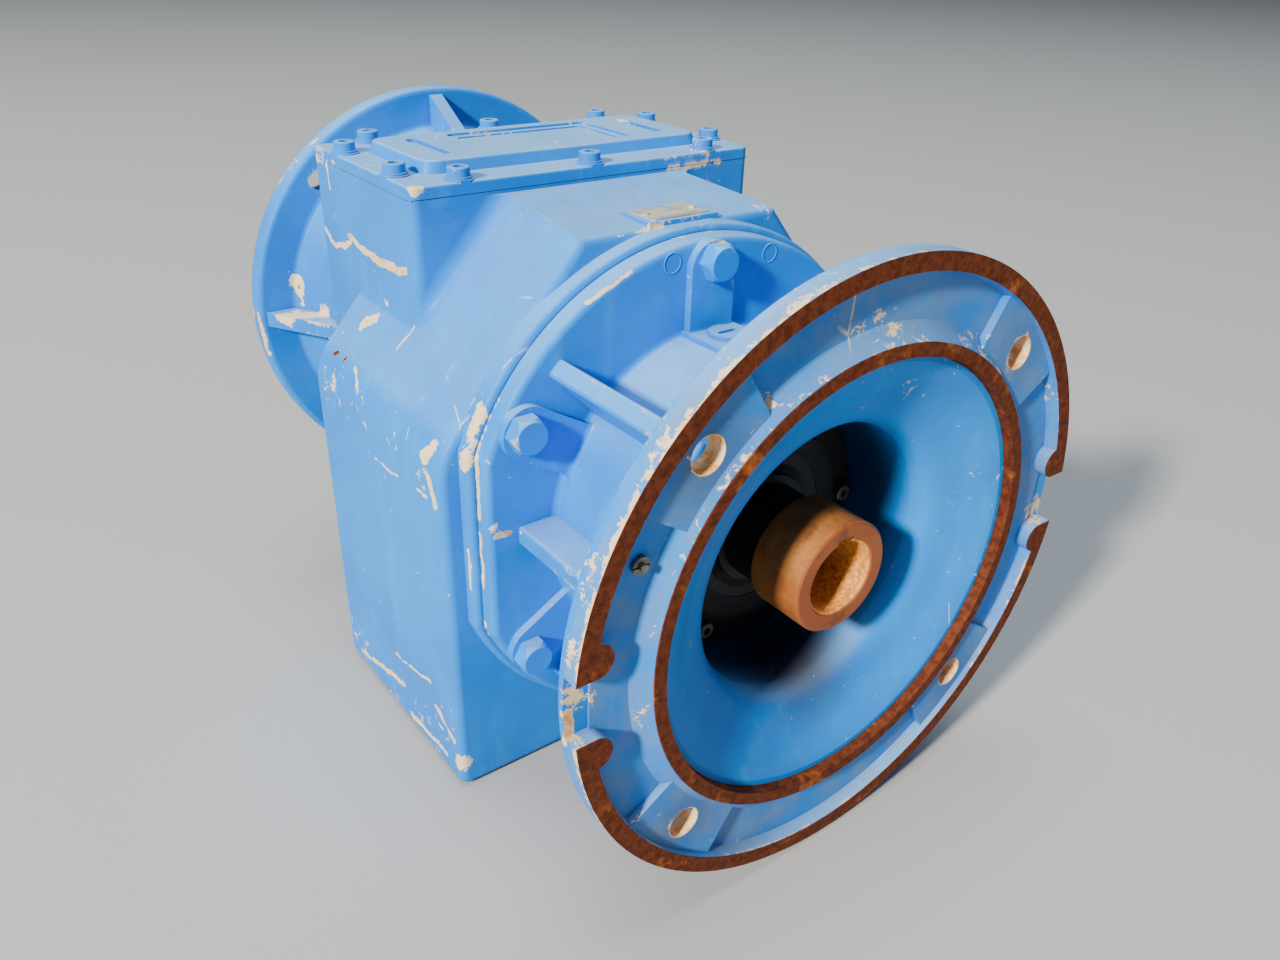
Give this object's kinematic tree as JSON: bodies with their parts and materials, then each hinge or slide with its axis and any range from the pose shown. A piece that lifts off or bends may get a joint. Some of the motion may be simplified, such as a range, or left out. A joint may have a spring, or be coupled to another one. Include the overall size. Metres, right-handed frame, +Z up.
{
  "type": "in-line helical gearbox",
  "caption": "Two-stage in-line helical gearbox with a bell-shaped motor adapter flange at the input and a flanged output with a keyed shaft.",
  "frame": {"origin": "centre of the motor flange's front face, on the input shaft's axis", "axes": "+Y along the shafts towards the output, +Z up, +X to the right seen from the motor"},
  "size_m": [0.35, 0.563, 0.365],
  "materials": {
    "blue_paint": "worn sky-blue paint over cast iron, chipped on edges",
    "gasket": "dark fibre gasket",
    "plate_alloy": "weathered blank plate",
    "zinc_steel": "dull zinc",
    "cast_iron": "rough casting",
    "seal_rubber": "black rubber",
    "rusty_steel": "turned steel with surface rust",
    "machined_steel": "ground",
    "bearing_steel": "polished"
  },
  "bodies": {
    "housing_body": {"housing": "blue_paint", "input_adapter": "blue_paint", "output_flange": "blue_paint", "top_cover": "blue_paint", "cover_gasket": "gasket", "cover_screws": "blue_paint", "cover_washers": "blue_paint", "adapter_gasket": "gasket", "adapter_bolts": "blue_paint", "adapter_plug": "blue_paint", "recess_screw": "zinc_steel", "output_flange_gasket": "gasket", "output_flange_bolts": "zinc_steel", "nameplate": "plate_alloy", "nameplate_rivets": "plate_alloy", "oil_level_plug": "blue_paint", "oil_drain_plug": "blue_paint", "input_bearing_cover": "cast_iron", "input_bearing_cover_screws": "zinc_steel", "input_shaft_seal": "seal_rubber", "output_shaft_seal": "seal_rubber", "input_front_bearing_outer": "bearing_steel", "input_rear_bearing_outer": "bearing_steel", "counter_front_bearing_outer": "bearing_steel", "counter_rear_bearing_outer": "bearing_steel", "output_front_bearing_outer": "bearing_steel", "output_rear_bearing_outer": "bearing_steel"},
    "input_body": {"input_shaft": "rusty_steel", "input_pinion": "machined_steel", "input_pinion_key": "machined_steel", "input_pinion_circlip": "zinc_steel", "input_bearing_circlip": "zinc_steel", "input_front_bearing_inner": "bearing_steel", "input_front_bearing_balls": "bearing_steel", "input_rear_bearing_inner": "bearing_steel", "input_rear_bearing_balls": "bearing_steel"},
    "counter_body": {"countershaft": "machined_steel", "counter_gear": "machined_steel", "counter_gear_key": "machined_steel", "counter_spacer": "machined_steel", "counter_front_bearing_inner": "bearing_steel", "counter_front_bearing_balls": "bearing_steel", "counter_rear_bearing_inner": "bearing_steel", "counter_rear_bearing_balls": "bearing_steel"},
    "output_body": {"output_shaft": "machined_steel", "output_gear": "machined_steel", "output_gear_key": "machined_steel", "output_front_bearing_inner": "bearing_steel", "output_front_bearing_balls": "bearing_steel", "output_rear_bearing_inner": "bearing_steel", "output_rear_bearing_balls": "bearing_steel"}
  },
  "joints": [
    {"name": "output_spin", "type": "hinge", "parent": "housing_body", "child": "output_body", "pos_m": [0, 0.35, 0.037], "axis": [0, 1, 0], "continuous": true},
    {"name": "counter_spin", "type": "hinge", "parent": "housing_body", "child": "counter_body", "pos_m": [0, 0.25, -0.085], "axis": [0, 1, 0], "continuous": true},
    {"name": "input_spin", "type": "hinge", "parent": "housing_body", "child": "input_body", "pos_m": [0, 0.11, 0], "axis": [0, 1, 0], "continuous": true}
  ],
  "couplings": [
    {"joint": "counter_spin", "follows": "output_spin", "ratio": -3.3571},
    {"joint": "input_spin", "follows": "output_spin", "ratio": 7.5136}
  ]
}
